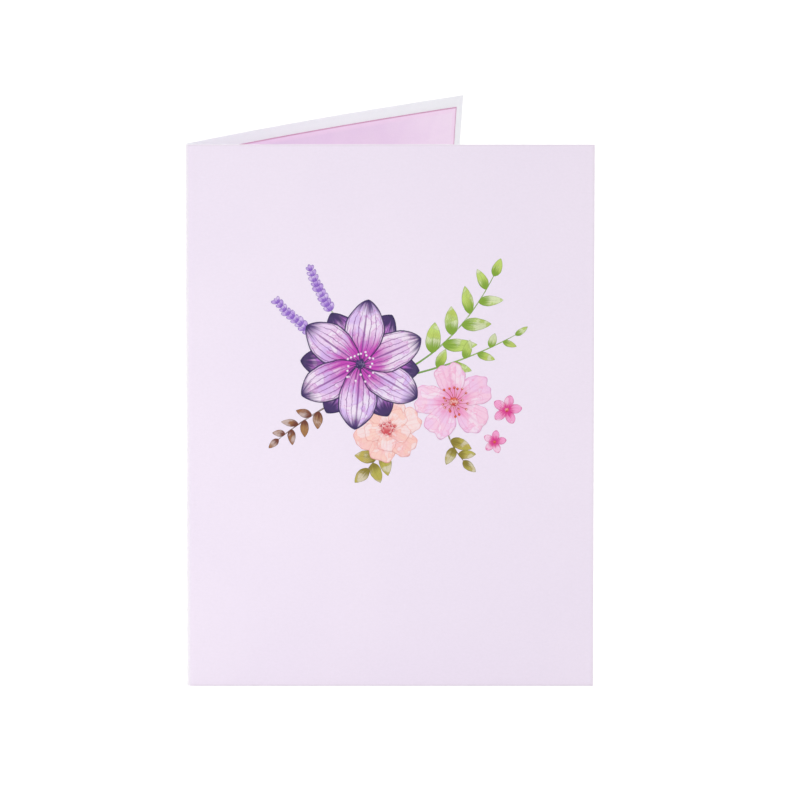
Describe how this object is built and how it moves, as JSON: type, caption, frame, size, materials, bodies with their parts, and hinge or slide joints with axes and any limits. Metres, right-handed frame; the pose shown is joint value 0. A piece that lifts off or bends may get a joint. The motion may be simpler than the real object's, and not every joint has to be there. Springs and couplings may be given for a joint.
{
  "type": "greeting card",
  "caption": "Folded greeting card that stands slightly open like a book: a pale cover sheet with a soft spine and a thinner insert sheet glued inside.",
  "frame": {"origin": "bottom centre of the card's box, on the surface that it stands on", "axes": "+Z from foot to head, the front leaf's outer face looks along -Y, and the fold lies at -X so that the card opens towards +X"},
  "size_m": [0.15, 0.1172, 0.203],
  "materials": {
    "cover_card": "smooth uncoated card, pale lavender outside and white inside",
    "insert_paper": "smooth uncoated paper, pink-lilac with a darker cut edge"
  },
  "bodies": {
    "root": {"cover": "cover_card", "insert_sheet": "insert_paper"}
  },
  "joints": []
}
